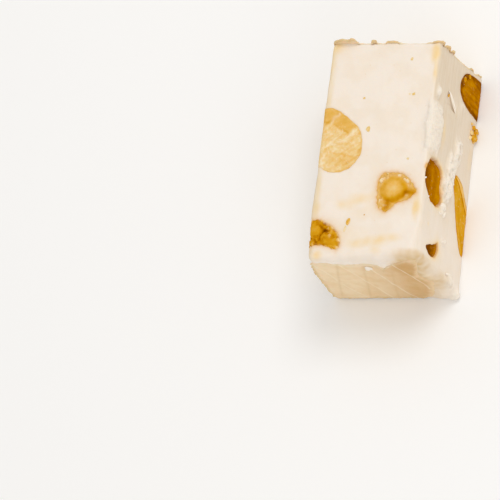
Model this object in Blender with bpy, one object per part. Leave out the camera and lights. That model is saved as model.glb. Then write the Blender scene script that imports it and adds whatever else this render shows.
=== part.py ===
"""A bar of soft white nougat, with nuts cut through at its faces and edible wafer on both ends.

The bar lies on its long back face. X is its width, Y its length with the near end at -Y, and
Z its height. The origin is the middle of the base. Each nut that shows is a solid of its own,
set in a pocket of the nougat and trimmed where the knife went.
"""

import math
from collections import namedtuple

import bmesh
import bpy
from mathutils import Matrix, Vector, noise

MM = 0.001

HEIGHT = 24.0 * MM
HALF_WIDTH = 12.6 * MM
HALF_LENGTH = 25.0 * MM
BLOCK_HALF = Vector((HALF_WIDTH, HALF_LENGTH, HEIGHT / 2))

# The block was cut by hand, so its corners stand a little off the square.
TOP_LEFT_NEAR = Vector((-11.9, -25.0)) * MM
TOP_RIGHT_NEAR = Vector((12.6, -24.5)) * MM
TOP_LEFT_FAR = Vector((-12.1, 24.2)) * MM
TOP_RIGHT_FAR = Vector((12.5, 23.5)) * MM
BASE_LEFT_NEAR = Vector((-13.8, -25.15)) * MM
BASE_RIGHT_NEAR = Vector((14.0, -25.05)) * MM
BASE_LEFT_FAR = Vector((-13.1, 24.9)) * MM
BASE_RIGHT_FAR = Vector((13.9, 25.2)) * MM

# Edges are soft, and softest at the near end, where the knife dragged the nougat over the
# wafer from the top and the right, so that it stands in a lip round it there.
EDGE_RADIUS = 0.8 * MM
DRAGGED_RADIUS = 2.8 * MM
LIP = 0.6 * MM
LIP_RIGHT = 10.7 * MM
LIP_TOP = 21.3 * MM
LIP_RUN = 1.2 * MM
GRID_PITCH = 2.1 * MM

# The cut faces swell and dip gently.
SWELL = 0.25 * MM
SWELL_SPAN = 9.0 * MM
RIPPLE = 0.08 * MM
RIPPLE_SPAN = 2.6 * MM

# Nuts keep a hair's clearance to the nougat, and lie just under its surface.
CLEARANCE = 0.25 * MM
NUT_INSET = 0.12 * MM
NUT_LUMPS = 0.12
ROUND_SIDES = 16
ROUND_RINGS = 10

# Edible wafer on the two ends, with torn rims. The far one stands proud of the top, most of
# all in one flap, and the near one stops short of the lip, lowest in one dip of its upper rim.
WAFER_THICK = 0.4 * MM
WAFER_STEPS = 12
WAFER_RAG = 0.7 * MM
WAFER_CRINKLE = 0.08 * MM
WAFER_LOW = 0.9 * MM
FLAP_RISE = 1.0 * MM
FLAP_MIDDLE = -8.6 * MM
FLAP_HALF = 3.6 * MM
NEAR_RIM = 21.4 * MM
DIP = 2.8 * MM
DIP_MIDDLE = 3.2 * MM
DIP_HALF = 3.2 * MM

NOUGAT_COLOUR = (0.90, 0.80, 0.68)
WAFER_COLOUR = (0.72, 0.56, 0.36)
PALE_NUT = (0.76, 0.52, 0.20)
GOLD_NUT = (0.62, 0.36, 0.06)
BROWN_NUT = (0.42, 0.19, 0.02)

UP = Vector((0, 0, 1))
ACROSS = Vector((1, 0, 0))
LENGTHWISE = Vector((0, 1, 0))

# A kernel has its length along one direction and is thin along another. split is how far its
# flat face lies from its middle, where the other half has come away, or None.
Kernel = namedtuple("Kernel", "name centre size along thin taper colour split")

# A patch where the knife pulled the nougat proud of the face, or out of it.
Tear = namedtuple("Tear", "centre reach height")


def mm(*values):
    return Vector(values) * MM


def tilted(across, along, degrees):
    """The direction that many degrees up from along, towards across."""
    turn = math.radians(degrees)
    return along * math.cos(turn) + across * math.sin(turn)


TOP_NUTS = [
    Kernel("nut_round", mm(-10.2, 2.4, 22.2), mm(15.8, 15.6, 11.6), LENGTHWISE, UP, 0.05, PALE_NUT, None),
    Kernel("nut_cupped", mm(5.9, -10.3, 23.1), mm(9.9, 9.2, 4.4), LENGTHWISE, UP, 0.1, GOLD_NUT, None),
    Kernel("nut_crumbled", mm(-9.5, -19.4, 22.3), mm(9.2, 7.1, 6.0), ACROSS, UP, 0.1, GOLD_NUT, None),
]
RIGHT_NUTS = [
    Kernel("nut_long", mm(12.1, -8.2, 5.2), mm(18.4, 12.6, 9.2),
           tilted(UP, LENGTHWISE, 28), ACROSS, 0.08, GOLD_NUT, 0.6 * MM),
    Kernel("nut_skinned", mm(12.0, 19.8, 1.9), mm(18.6, 9.4, 8.6), UP, ACROSS, 0.12, BROWN_NUT, None),
    Kernel("nut_edge", mm(13.4, 11.4, 1.6), mm(4.6, 3.0, 3.0), LENGTHWISE, ACROSS, 0.2, GOLD_NUT, None),
]
LEFT_NUTS = [
    Kernel("nut_left_long", mm(-12.3, 14.2, 8.4), mm(17.6, 9.0, 7.6),
           tilted(UP, LENGTHWISE, -22), ACROSS, 0.2, GOLD_NUT, None),
    Kernel("nut_left_short", mm(-12.5, -11.2, 7.4), mm(10.6, 8.4, 7.0),
           tilted(UP, LENGTHWISE, 64), ACROSS, 0.15, PALE_NUT, None),
]
BASE_NUTS = [
    Kernel("nut_under_long", mm(-1.6, 8.2, 0.9), mm(17.0, 9.4, 6.4),
           tilted(LENGTHWISE, ACROSS, 62), UP, 0.2, GOLD_NUT, None),
    Kernel("nut_under_short", mm(-1.4, -14.6, 0.8), mm(10.4, 9.0, 6.0),
           tilted(LENGTHWISE, ACROSS, 20), UP, 0.1, PALE_NUT, None),
]

# These lie deeper than the face, in a pocket that is open over them.
SUNKEN_NUTS = [
    Kernel("nut_sunken", mm(11.0, -6.4, 18.8), mm(10.0, 9.4, 2.4), LENGTHWISE, mm(993, 0, 120), 0.06, BROWN_NUT, None),
    Kernel("chip_sunken", mm(11.2, -19.9, 16.6), mm(6.6, 3.9, 3.0),
           tilted(LENGTHWISE, UP, -18), ACROSS, 0.5, BROWN_NUT, None),
]
POCKET_REACH = 6.0 * MM

# The cupped nut has a moat round its domed heart, and the crumbled one is cracked through.
MOAT_CENTRE = mm(5.5, -9.8, 24.0)
MOAT_RADIUS = 3.4 * MM
MOAT_HALF_WIDTH = 0.45 * MM
CRACK_CENTRE = mm(-8.6, -19.2, 24.0)
CRACK_DEPTH = 1.8 * MM
CRACK_WIDTH = 0.7 * MM
CRACK_LENGTH = 4.6 * MM
CRACK_TURNS = (28, 152, 262)

TEARS = [
    Tear(mm(12.5, 4.6, 22.2), mm(3.0, 5.8, 4.4), 0.8 * MM),
    Tear(mm(12.9, -3.6, 12.6), mm(3.5, 5.2, 2.9), 0.8 * MM),
    Tear(mm(12.9, 5.0, 9.4), mm(3.0, 5.0, 2.4), 0.4 * MM),
    Tear(mm(12.8, 13.3, 12.8), mm(3.0, 1.7, 3.7), -0.5 * MM),
    Tear(mm(13.0, -23.4, 6.6), mm(3.0, 2.6, 3.4), 0.4 * MM),
    Tear(mm(-12.5, -2.0, 13.2), mm(3.0, 6.0, 2.6), 0.5 * MM),
]


def clear_scene():
    for obj in list(bpy.data.objects):
        bpy.data.objects.remove(obj)


def material(name, colour, roughness):
    made = bpy.data.materials.get(name)
    if made:
        return made
    made = bpy.data.materials.new(name)
    made.use_nodes = True
    shader = made.node_tree.nodes["Principled BSDF"]
    shader.inputs["Base Color"].default_value = (*colour, 1.0)
    shader.inputs["Roughness"].default_value = roughness
    shader.inputs["Metallic"].default_value = 0.0
    return made


def nut_material(colour):
    names = {PALE_NUT: "nut_pale", GOLD_NUT: "nut_gold", BROWN_NUT: "nut_brown"}
    return material(names[colour], colour, 0.55)


def object_from(name, shape, finish=None, collection=None):
    """A new object that holds the bmesh shape, which this uses up. Its faces are made triangles,
    so that what cuts it and what it cuts agree on where its bent faces run."""
    bmesh.ops.triangulate(shape, faces=shape.faces[:])
    shape.normal_update()
    bmesh.ops.recalc_face_normals(shape, faces=shape.faces)
    mesh = bpy.data.meshes.new(name)
    shape.to_mesh(mesh)
    shape.free()
    obj = bpy.data.objects.new(name, mesh)
    (collection or bpy.context.scene.collection).objects.link(obj)
    if finish:
        mesh.materials.append(finish)
        mesh.shade_smooth()
        mesh.set_sharp_from_angle(angle=math.radians(40))
    return obj


def helper(obj):
    obj.hide_render = True
    obj.display_type = "WIRE"
    return obj


def cut(obj, kind, cutter):
    modifier = obj.modifiers.new(kind.title() + " " + cutter.name, "BOOLEAN")
    modifier.operation = kind
    modifier.solver = "EXACT"
    modifier.object = cutter


def ease(value, low, high):
    """0 below low, 1 above high, and a smooth rise between them."""
    share = min(1.0, max(0.0, (value - low) / (high - low)))
    return share * share * (3 - 2 * share)


def stations(half):
    """Grid places along one side of the block, closer together over the round edges."""
    flat = half - DRAGGED_RADIUS
    steps = max(2, round(2 * flat / GRID_PITCH))
    inner = [flat * (2 * i / steps - 1) for i in range(steps + 1)]
    edge = [half - DRAGGED_RADIUS * share for share in (0.55, 0.2, 0.0)]
    return [-place for place in reversed(edge)] + inner + edge


def edge_radius(place):
    """How round the edges are at this place of the sharp block, whose middle is at zero."""
    upper = ease(place.z, 2 * MM, 9 * MM) * (0.4 + 0.6 * ease(place.x, -11 * MM, -5 * MM))
    right = ease(place.x, 2 * MM, 9 * MM) * ease(place.z, -11.5 * MM, -7.5 * MM)
    dragged = ease(-place.y, 16 * MM, 23 * MM) * max(upper, right)
    return EDGE_RADIUS + (DRAGGED_RADIUS - EDGE_RADIUS) * dragged


def rounded(place):
    """Where a point of the sharp block lies once its edges are round, and which way is out."""
    radius = edge_radius(place)
    inner = [half - radius for half in BLOCK_HALF]
    core = Vector(max(-reach, min(reach, value)) for reach, value in zip(inner, place))
    outward = (place - core).normalized()
    return core + outward * radius, outward


def warped(place):
    """The point moved as the block's crooked corners move, and lifted to stand on its base."""
    right, far, up = ((value / half + 1) / 2 for value, half in zip(place, BLOCK_HALF))
    top = (TOP_LEFT_NEAR.lerp(TOP_RIGHT_NEAR, right)).lerp(TOP_LEFT_FAR.lerp(TOP_RIGHT_FAR, right), far)
    base = (BASE_LEFT_NEAR.lerp(BASE_RIGHT_NEAR, right)).lerp(BASE_LEFT_FAR.lerp(BASE_RIGHT_FAR, right), far)
    plan = base.lerp(top, up)
    return Vector((plan.x, plan.y, up * HEIGHT))


def torn(place):
    """How far the torn patches lift the surface here."""
    lift = 0.0
    for tear in TEARS:
        offset = place - tear.centre
        away = Vector(offset[i] / tear.reach[i] for i in range(3)).length
        if away < 1:
            ragged = 0.7 + 0.6 * noise.noise(place / (1.7 * MM))
            lift += tear.height * (1 - away * away) ** 2 * ragged
    return lift


def lip(place, outward):
    """How far the nougat stands round the near wafer's right and upper rims."""
    beside = max(ease(place.x, LIP_RIGHT, LIP_RIGHT + LIP_RUN), ease(place.z, LIP_TOP, LIP_TOP + LIP_RUN))
    return LIP * beside * ease(-outward.y, 0.1, 0.7) * ease(outward.z, -0.5, -0.1)


def relief(place, outward):
    """How far the face swells here. The base stays flat, and the ends nearly so."""
    swell = SWELL * noise.noise(place / SWELL_SPAN) + RIPPLE * noise.noise(place / RIPPLE_SPAN)
    open_face = ease(outward.z, -0.75, -0.2) * (1 - 0.8 * ease(abs(outward.y), 0.5, 0.9))
    return (swell + torn(place)) * open_face + lip(place, outward)


def on_bar(place, inset=0.0):
    """A point of the sharp block's skin as it lies on the bar, or that far under its skin."""
    soft, outward = rounded(place)
    moved = warped(soft)
    return moved + outward * (relief(moved, outward) - inset)


def block_shape(inset=0.0):
    """The whole block with its round edges and relief, as if it held no nuts."""
    shape = bmesh.new()
    found = {}

    def corner(key):
        if key not in found:
            found[key] = shape.verts.new(on_bar(Vector(key), inset))
        return found[key]

    for fixed in range(3):
        one, two = (fixed + 1) % 3, (fixed + 2) % 3
        rows, columns = stations(BLOCK_HALF[one]), stations(BLOCK_HALF[two])
        for side in (-BLOCK_HALF[fixed], BLOCK_HALF[fixed]):
            for a, b in zip(rows, rows[1:]):
                for c, d in zip(columns, columns[1:]):
                    ring = []
                    for row, column in ((a, c), (b, c), (b, d), (a, d)):
                        key = [side, side, side]
                        key[one] = row
                        key[two] = column
                        ring.append(corner(tuple(key)))
                    shape.faces.new(ring)
    return shape


def frame_of(kernel):
    """The turn that lays a kernel's own Z along it and its own Y through its thickness."""
    length = kernel.along.normalized()
    thin = (kernel.thin - length * kernel.thin.dot(length)).normalized()
    width = thin.cross(length)
    return Matrix((width, thin, length)).transposed()


def kernel_shape(kernel, grown=0.0, opened=False):
    """A nut kernel: rounded, a little lumpy, and narrower at its upper tip.

    grown makes it larger all round, and opened carries its outer half straight out of the bar.
    """
    length, width, thick = kernel.size
    shape = bmesh.new()
    bmesh.ops.create_uvsphere(shape, u_segments=ROUND_SIDES, v_segments=ROUND_RINGS, radius=1.0)
    turn = frame_of(kernel)
    for vert in shape.verts:
        unit = vert.co.copy()
        narrow = 1 - kernel.taper * unit.z
        lump = 1 + NUT_LUMPS * noise.noise(unit * 1.6 + kernel.centre / (3 * MM))
        place = Vector((
            unit.x * narrow * (width / 2 * lump + grown),
            unit.y * narrow * (thick / 2 * lump + grown),
            unit.z * (length / 2 * lump + grown),
        ))
        if opened and unit.y > 0.01:
            place.y += POCKET_REACH
        vert.co = kernel.centre + turn @ place
    if kernel.split is not None:
        split_off(shape, kernel, turn, grown)
    return shape


def split_off(shape, kernel, turn, grown):
    """Takes away the part of the kernel that lies above its split, and closes the flat face."""
    side = turn @ Vector((1, 0, 0))
    if side.z < 0:
        side = -side
    cut_at = kernel.centre + side * (kernel.split + grown)
    halves = bmesh.ops.bisect_plane(
        shape, geom=shape.verts[:] + shape.edges[:] + shape.faces[:],
        plane_co=cut_at, plane_no=side, clear_outer=True,
    )
    rim = [part for part in halves["geom_cut"] if isinstance(part, bmesh.types.BMEdge)]
    bmesh.ops.edgeloop_fill(shape, edges=rim)


def moat_shape():
    """A ring that cuts the moat round the cupped nut's heart."""
    shape = bmesh.new()
    sides, turns = 8, 20
    rings = []
    for i in range(turns):
        around = 2 * math.pi * i / turns
        ring = []
        for j in range(sides):
            tube = 2 * math.pi * j / sides
            reach = MOAT_RADIUS + MOAT_HALF_WIDTH * math.cos(tube)
            rise = 1.6 * MOAT_HALF_WIDTH * math.sin(tube)
            place = Vector((reach * math.cos(around), reach * math.sin(around), rise))
            ring.append(shape.verts.new(MOAT_CENTRE + place))
        rings.append(ring)
    for i in range(turns):
        for j in range(sides):
            shape.faces.new((rings[i][j], rings[i - 1][j], rings[i - 1][j - 1], rings[i][j - 1]))
    return shape


def crack_shape(degrees):
    """A wedge that opens upward, from the middle of the crumbled nut towards its rim."""
    shape = bmesh.new()
    turn = Matrix.Rotation(math.radians(degrees), 3, "Z")
    ends = []
    for reach, width in ((-0.4 * MM, CRACK_WIDTH), (CRACK_LENGTH, CRACK_WIDTH / 3)):
        corners = ((-width, 1 * MM), (width, 1 * MM), (width / 4, -CRACK_DEPTH), (-width / 4, -CRACK_DEPTH))
        places = [CRACK_CENTRE + turn @ Vector((reach, side / 2, rise)) for side, rise in corners]
        ends.append([shape.verts.new(place) for place in places])
    near, far = ends
    shape.faces.new(near)
    shape.faces.new(far)
    for i in range(4):
        shape.faces.new((near[i], near[i - 1], far[i - 1], far[i]))
    return shape


def bump(value, middle, half):
    """A round hump, 1 at its middle and 0 past half on either side."""
    return max(0.0, 1 - ((value - middle) / half) ** 2)


def wafer_top(x, far):
    """How high the wafer's upper rim stands at this place across the end."""
    ragged = WAFER_RAG * noise.noise(Vector((x / (1.6 * MM), 0.3, 3.5 if far else 8.5)))
    if far:
        return HEIGHT + abs(ragged) / 2 + FLAP_RISE * bump(x, FLAP_MIDDLE, FLAP_HALF)
    return NEAR_RIM - DIP * bump(x, DIP_MIDDLE, DIP_HALF) + min(ragged, 0)


def wafer_shape(far):
    """A thin crinkled sheet that follows the end of the bar round its corners."""
    shape = bmesh.new()
    columns = [x for x in stations(HALF_WIDTH) if far or x < LIP_RIGHT]
    layers = []
    for depth in (CLEARANCE, CLEARANCE + WAFER_THICK):
        rows = []
        for x in columns:
            row = []
            for j in range(WAFER_STEPS + 1):
                z = WAFER_LOW + (wafer_top(x, far) - WAFER_LOW) * j / WAFER_STEPS
                ragged = WAFER_RAG / 2 * noise.noise(Vector((z / (1.6 * MM), 4.4, 1.5 if far else 6.5)))
                across = x + ragged * (x / HALF_WIDTH) ** 5
                along = HALF_LENGTH if far else -HALF_LENGTH
                place = Vector((across, along, min(z, HEIGHT) - HEIGHT / 2))
                crinkle = WAFER_CRINKLE * (1 + noise.noise(Vector((x, 0, z)) / (3 * MM)))
                row.append(shape.verts.new(on_bar(place, -depth - crinkle) + UP * max(0, z - HEIGHT)))
            rows.append(row)
        layers.append(rows)
    inner, outer = layers
    last = len(columns) - 1
    for rows in layers:
        for i in range(last):
            for j in range(WAFER_STEPS):
                shape.faces.new((rows[i][j], rows[i + 1][j], rows[i + 1][j + 1], rows[i][j + 1]))
    border = [(i, 0) for i in range(last)] + [(last, j) for j in range(WAFER_STEPS)]
    border += [(i, WAFER_STEPS) for i in range(last, 0, -1)] + [(0, j) for j in range(WAFER_STEPS, 0, -1)]
    for (i, j), (k, m) in zip(border, border[1:] + border[:1]):
        shape.faces.new((inner[i][j], inner[k][m], outer[k][m], outer[i][j]))
    return shape


def make_nut(kernel, trim, pockets, opened=False):
    """The nut itself, and the pocket that it leaves in the nougat."""
    nut = object_from(kernel.name, kernel_shape(kernel), nut_material(kernel.colour))
    cut(nut, "INTERSECT", trim)
    pocket = kernel_shape(kernel, CLEARANCE, opened)
    helper(object_from("pocket_" + kernel.name, pocket, collection=pockets))
    return nut


def main():
    clear_scene()
    pockets = bpy.data.collections.new("pockets")
    bpy.context.scene.collection.children.link(pockets)
    nougat = object_from("nougat", block_shape(), material("nougat", NOUGAT_COLOUR, 0.6))
    trim = helper(object_from("trim", block_shape(NUT_INSET)))
    nuts = {}
    for kernel in TOP_NUTS + RIGHT_NUTS + LEFT_NUTS + BASE_NUTS:
        nuts[kernel.name] = make_nut(kernel, trim, pockets)
    for kernel in SUNKEN_NUTS:
        nuts[kernel.name] = make_nut(kernel, trim, pockets, opened=True)
    cut(nuts["nut_cupped"], "DIFFERENCE", helper(object_from("moat", moat_shape())))
    for number, degrees in enumerate(CRACK_TURNS):
        blade = helper(object_from(f"crack_{number}", crack_shape(degrees)))
        cut(nuts["nut_crumbled"], "DIFFERENCE", blade)
    for pocket in pockets.objects:
        cut(nougat, "DIFFERENCE", pocket)
    wafer = material("wafer", WAFER_COLOUR, 0.7)
    object_from("wafer_near", wafer_shape(far=False), wafer)
    object_from("wafer_far", wafer_shape(far=True), wafer)


main()
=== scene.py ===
"""The looks of a bar of soft white nougat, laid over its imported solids.

Lengths are in millimetres until a mesh is made. The bar starts as a sharp block whose middle is
at zero, whose skin is rounded, bent to the crooked corners and swollen as the knife left it. A
chart is a face of that block laid out flat, going on over the edges beside it, on which the
outlines of the nuts are drawn.
"""

import math
from collections import namedtuple

import bmesh
import bpy
import numpy as np
from mathutils import Matrix, Vector, noise

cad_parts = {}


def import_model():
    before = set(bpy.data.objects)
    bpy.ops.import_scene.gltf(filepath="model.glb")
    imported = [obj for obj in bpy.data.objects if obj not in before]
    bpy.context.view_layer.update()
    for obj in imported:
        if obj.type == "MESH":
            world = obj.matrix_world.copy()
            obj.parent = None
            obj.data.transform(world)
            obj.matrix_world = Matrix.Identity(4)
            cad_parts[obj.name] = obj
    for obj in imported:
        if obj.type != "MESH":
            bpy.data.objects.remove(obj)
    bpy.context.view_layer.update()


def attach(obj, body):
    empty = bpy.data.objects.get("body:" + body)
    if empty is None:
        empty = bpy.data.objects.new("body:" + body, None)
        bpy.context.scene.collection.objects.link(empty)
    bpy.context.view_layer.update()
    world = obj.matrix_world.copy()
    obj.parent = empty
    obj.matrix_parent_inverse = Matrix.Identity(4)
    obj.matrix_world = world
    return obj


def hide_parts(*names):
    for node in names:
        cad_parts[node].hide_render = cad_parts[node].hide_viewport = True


MM = 0.001

HEIGHT = 24.0
HALF = np.array([12.6, 25.0, 12.0])

# The crooked corners in plan: base then top, near then far, left then right.
CORNERS = np.array([
    [[(-13.8, -25.15), (14.0, -25.05)], [(-13.1, 24.9), (13.9, 25.2)]],
    [[(-11.9, -25.0), (12.6, -24.5)], [(-12.1, 24.2), (12.5, 23.5)]],
])
EDGE_RADIUS = 0.8
DRAGGED_RADIUS = 2.8

# How far the nougat's lip stands up round the near wafer, how deep the beds of the nuts and the
# nuts go, and how deep the film of nougat over two of their rims is.
LIP = 0.6
BED_DEPTH = 0.7
NUT_DEPTH = 2.4
FILM = 0.14

# How far apart the points of a mesh lie, and how near an outline they are moved onto it.
SKIN_PITCH = 0.26
NUT_PITCH = 0.22
WAFER_PITCH = 0.21
SNAP = 0.12

# Patches where the knife pulled the nougat proud of the face or out of it: centre, reach, height.
TEARS = [
    ((12.5, 4.6, 22.2), (3.0, 5.8, 4.4), 0.8),
    ((12.9, -3.6, 12.6), (3.5, 5.2, 2.9), 0.8),
    ((12.9, 5.0, 9.4), (3.0, 5.0, 2.4), 0.4),
    ((12.8, 13.3, 12.8), (3.0, 1.7, 3.7), -0.5),
    ((13.0, -23.4, 6.6), (3.0, 2.6, 3.4), 0.4),
    ((-12.5, -2.0, 13.2), (3.0, 6.0, 2.6), 0.5),
]

# Where the freshest, whitest nougat shows: centre, reach, strength.
WHITES = [
    ((12.6, 4.8, 22.6), (2.0, 6.4, 3.6), 0.8),
    ((13.1, -5.4, 13.2), (2.0, 4.0, 2.9), 0.8),
    ((13.1, -0.6, 11.6), (2.0, 4.6, 3.0), 0.8),
    ((13.2, 4.2, 9.0), (2.0, 3.4, 2.4), 0.6),
    ((13.2, 13.6, 14.0), (2.0, 1.9, 3.8), 0.7),
    ((13.6, -24.0, 6.4), (2.0, 1.8, 3.4), 0.8),
    ((13.0, -16.8, 11.6), (2.0, 0.7, 1.2), 0.8),
    ((13.9, -24.6, 1.6), (1.8, 2.4, 2.2), 0.8),
    ((-12.8, -2.0, 13.2), (2.0, 5.6, 2.4), 0.4),
    ((8.5, -17.0, 24.0), (3.0, 2.4, 1.5), 0.35),
]

# Where the nougat is torn rough: centre, reach, and how rough.
ROUGHS = [
    ((13.1, -5.4, 13.2), (2.2, 4.2, 3.2), 1.0),
    ((13.1, -0.6, 11.7), (2.2, 5.0, 3.4), 1.0),
    ((13.2, 4.4, 9.2), (2.2, 4.0, 2.8), 0.9),
    ((13.5, -24.0, 6.6), (1.8, 2.0, 4.4), 0.5),
    ((13.9, -24.8, 1.4), (2.2, 2.4, 2.4), 0.45),
    ((13.0, -16.8, 11.6), (2.0, 0.9, 1.5), 0.8),
    ((13.2, 14.6, 9.4), (1.6, 1.6, 1.6), 0.4),
    ((12.6, 13.0, 22.6), (1.2, 2.4, 1.2), 0.5),
    ((13.0, -10.6, 14.4), (1.8, 1.6, 2.2), 0.8),
    ((-12.8, -2.0, 13.2), (2.0, 5.6, 2.4), 0.6),
    ((-12.9, 22.0, 14.0), (2.0, 2.4, 2.6), 0.5),
]

# Yellow stains of honey and nut oil in the nougat: centre, reach, strength.
STAINS = [
    ((11.5, 21.4, 24.0), (1.5, 3.8, 1.8), 1.0),
    ((11.9, 16.8, 24.0), (0.7, 3.2, 1.4), 0.7),
    ((11.2, -13.6, 24.0), (1.3, 3.8, 1.6), 0.85),
    ((10.4, -10.4, 24.0), (1.3, 1.6, 1.4), 0.5),
    ((-9.5, -24.0, 24.0), (1.6, 1.4, 1.6), 0.8),
    ((-4.6, -12.9, 24.0), (3.4, 1.8, 2.0), 0.42),
    ((-1.6, -11.5, 24.0), (3.4, 1.8, 2.0), 0.46),
    ((1.6, -10.9, 24.0), (2.4, 2.2, 2.0), 0.25),
    ((-1.0, -21.6, 24.0), (3.6, 1.6, 2.0), 0.45),
    ((3.0, -21.0, 24.0), (4.0, 1.8, 2.0), 0.6),
    ((6.4, -20.2, 24.0), (3.4, 1.4, 2.0), 0.45),
    ((3.2, -23.0, 24.0), (1.8, 1.2, 1.5), 0.4),
    ((-3.5, -19.4, 24.0), (7.5, 2.8, 2.0), 0.2),
    ((2.0, -14.0, 24.0), (8.0, 3.2, 2.0), 0.16),
    ((-11.0, -13.6, 24.0), (1.4, 2.0, 1.4), 0.55),
    ((12.9, 5.2, 17.6), (1.5, 5.0, 1.6), 0.42),
    ((12.9, -15.8, 20.2), (1.2, 0.6, 0.7), 0.5),
    ((13.6, 11.2, 2.6), (1.5, 2.6, 2.2), 0.45),
    ((13.6, 6.0, 2.0), (1.2, 5.0, 1.6), 0.25),
    ((-11.6, 23.4, 24.0), (3.4, 2.4, 2.0), 0.8),
    ((-11.9, 19.6, 24.0), (1.3, 4.6, 1.6), 0.6),
    ((10.4, -25.2, 22.0), (2.6, 1.6, 2.6), 0.85),
    ((11.6, -25.2, 13.0), (1.5, 1.5, 4.5), 0.5),
    ((13.0, -25.0, 19.5), (1.2, 1.6, 2.6), 0.3),
    ((-12.6, 20.5, 17.0), (1.5, 2.6, 2.4), 0.4),
    ((-13.0, -21.0, 6.0), (1.5, 2.2, 3.0), 0.35),
    ((5.0, -4.0, 0.0), (3.6, 2.6, 1.5), 0.3),
]

# Where nut oil has soaked the nougat amber: centre, reach, strength.
AMBERS = [
    ((12.4, -4.4, 23.7), (0.8, 1.5, 0.9), 0.9),
    ((13.0, -7.4, 15.2), (1.0, 3.6, 0.9), 0.35),
]

# The outlines of the nuts, where the knife cut them, on the chart of the face each shows in.
HALF_NUT = [
    (-10.3, 9.15), (-8.45, 8.3), (-6.5, 6.9), (-4.7, 5.4), (-3.55, 4.2), (-2.85, 2.5), (-2.6, 0.7),
    (-2.6, -1.3), (-3.3, -2.8), (-4.4, -4.3), (-6.25, -5.3), (-8.5, -5.6), (-10.3, -5.05),
    (-11.6, -4.2), (-13.2, -4.4), (-15.5, -4.2), (-18.0, -2.0), (-19.2, 1.5), (-19.0, 4.0),
    (-17.5, 7.0), (-15.0, 8.8), (-13.0, 9.3), (-11.7, 9.05),
]
CUPPED_NUT = [
    (2.2, -6.3), (3.6, -5.5), (6.0, -5.5), (7.8, -6.0), (9.45, -7.4), (10.9, -9.4), (11.1, -10.2),
    (10.2, -11.6), (8.3, -12.6), (6.9, -13.1), (5.6, -14.3), (4.45, -15.0), (3.1, -14.3),
    (2.25, -13.3), (1.85, -11.0), (1.65, -8.5),
]
CRACKED_NUT = [
    (-12.0, -15.9), (-10.1, -15.7), (-7.4, -16.9), (-5.5, -18.5), (-4.6, -20.3), (-4.4, -22.3),
    (-5.5, -23.4), (-7.0, -22.8), (-9.4, -22.4), (-12.0, -22.5), (-13.5, -22.5), (-15.3, -21.2),
    (-16.0, -19.4), (-15.4, -17.4), (-13.6, -16.2),
]
LONG_ALMOND = [
    (-16.3, 1.4), (-15.3, 2.9), (-13.1, 4.3), (-9.75, 5.95), (-6.1, 7.6), (-3.2, 8.95), (-1.3, 9.5),
    (-0.5, 8.4), (-0.5, 7.0), (-1.4, 4.3), (-3.0, 2.5), (-4.8, 0.9), (-6.2, -0.6), (-8.4, -2.2),
    (-11.0, -2.6), (-13.6, -1.8), (-15.7, -0.2),
]
SKINNED_ALMOND = [
    (15.15, 2.4), (15.35, 5.5), (16.2, 9.1), (17.3, 10.8), (18.7, 11.3), (20.7, 10.7), (22.6, 9.0),
    (23.6, 6.4), (24.0, 3.0), (24.0, 0.0), (23.6, -2.6), (22.4, -4.7), (20.0, -5.6), (17.3, -4.8),
    (15.6, -2.4), (15.1, 0.0),
]
LEFT_ALMOND = [
    (22.3, 5.3), (21.4, 7.9), (18.8, 10.4), (14.9, 12.6), (10.7, 13.5), (7.3, 13.0), (6.0, 11.4),
    (6.7, 9.0), (9.4, 6.4), (13.4, 4.2), (17.8, 3.1), (21.2, 3.5),
]
LEFT_ROUND_NUT = [
    (-8.9, 11.8), (-7.2, 9.7), (-7.1, 6.9), (-8.7, 4.1), (-11.2, 2.3), (-13.7, 2.8), (-15.3, 5.2),
    (-15.2, 8.0), (-13.5, 10.8), (-11.2, 12.2),
]
UNDER_ALMOND = [
    (5.6, 12.0), (3.6, 12.8), (0.2, 12.6), (-4.2, 11.2), (-8.0, 8.5), (-9.3, 5.4), (-8.3, 3.8),
    (-5.0, 3.6), (-0.8, 4.7), (3.4, 7.2), (6.1, 10.1),
]
UNDER_ROUND_NUT = [
    (0.4, -10.0), (2.4, -11.4), (2.9, -13.9), (1.8, -17.0), (-0.6, -19.1), (-3.3, -19.2),
    (-5.2, -17.6), (-5.7, -15.0), (-4.5, -12.0), (-2.2, -10.2),
]

# The mouths of the two hollows in the right face, which hold a whole nut and a chip.
NUT_HOLLOW = [
    (-1.7, 22.2), (-1.2, 20.4), (-1.3, 18.4), (-2.2, 16.0), (-3.8, 15.2), (-6.5, 15.6), (-8.3, 14.3),
    (-9.8, 14.9), (-11.1, 16.7), (-11.1, 18.6), (-10.6, 20.8), (-9.2, 22.6), (-7.6, 23.9),
    (-5.4, 24.1), (-3.3, 23.3),
]
CHIP_HOLLOW = [
    (-20.7, 20.1), (-19.8, 18.5), (-19.3, 16.8), (-18.5, 15.4), (-17.8, 14.1), (-19.8, 13.5),
    (-21.8, 15.2), (-21.8, 18.2),
]
NUT_HOLLOW_DEPTH = 1.9
CHIP_HOLLOW_DEPTH = 1.2

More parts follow.
